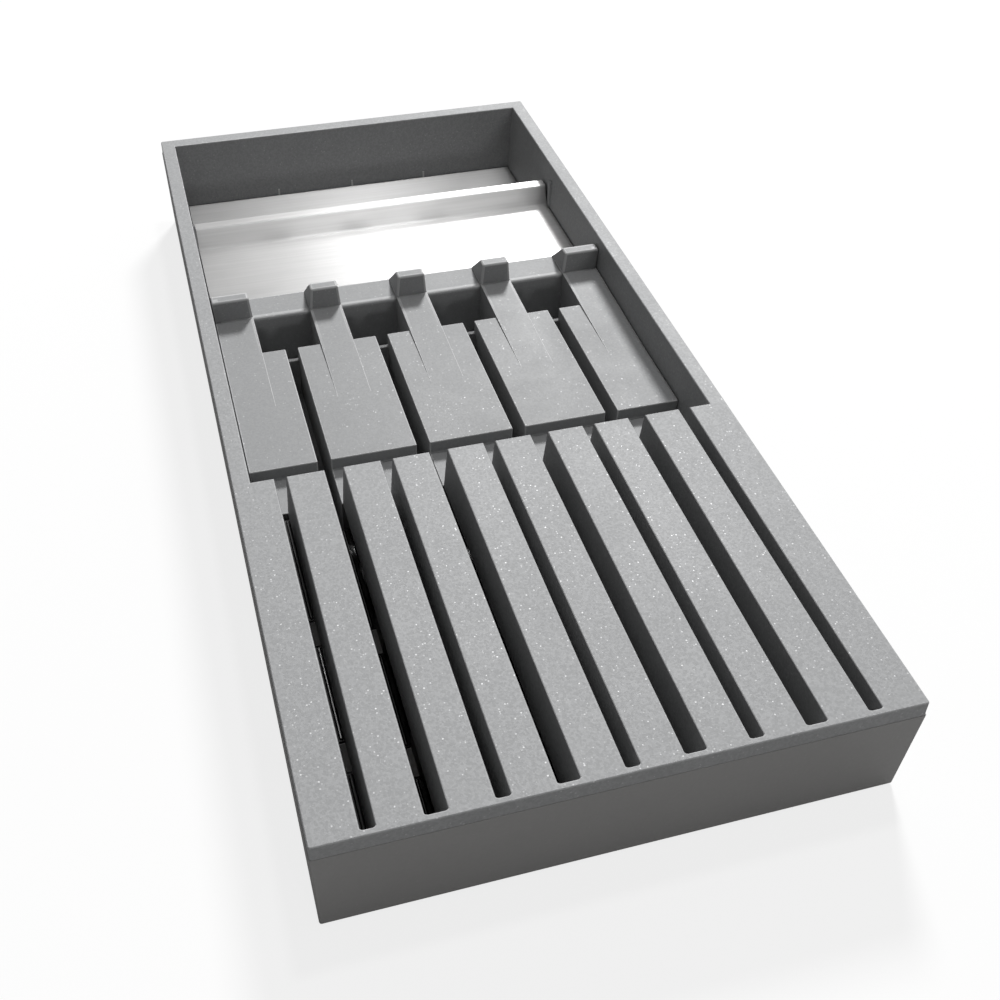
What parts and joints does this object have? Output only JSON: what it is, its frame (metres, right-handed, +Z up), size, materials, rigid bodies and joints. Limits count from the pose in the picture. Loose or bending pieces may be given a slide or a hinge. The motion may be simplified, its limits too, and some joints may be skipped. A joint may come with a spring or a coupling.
{
  "type": "drawer knife holder",
  "caption": "Low holder that lies in a drawer: slotted comb for blades, tongued handle rest and a folded steel tray behind it.",
  "frame": {"origin": "centre of the footprint, on the surface that the feet stand on", "axes": "+X across the width, +Y along the length towards the steel tray, -Y towards the closed ends of the slots, +Z up"},
  "size_m": [0.177, 0.39, 0.0415],
  "materials": {
    "cover_grey": "fine satin texture with a light metallic fleck",
    "shell_grey": "plain satin",
    "rest_grey": "fine satin texture with a light metallic fleck",
    "bed_black": "gloss",
    "tray_steel": "fine brushed",
    "screw_steel": "zinc plated",
    "foot_rubber": "matte"
  },
  "bodies": {
    "housing": {"top_cover": "cover_grey", "lower_shell": "shell_grey", "blade_bed_rear": "bed_black", "blade_bed_middle": "bed_black", "blade_bed_front": "bed_black", "cover_screws": "screw_steel", "non_slip_feet": "foot_rubber"},
    "handle_rest": {"handle_rest": "rest_grey"},
    "steel_tray": {"steel_tray": "tray_steel"}
  },
  "joints": [
    {"name": "handle_rest_lift", "type": "slide", "parent": "housing", "child": "handle_rest", "axis": [0, 0, 1], "range_m": [0, 0.045]},
    {"name": "steel_tray_lift", "type": "slide", "parent": "housing", "child": "steel_tray", "axis": [0, 0, 1], "range_m": [0, 0.035]}
  ]
}
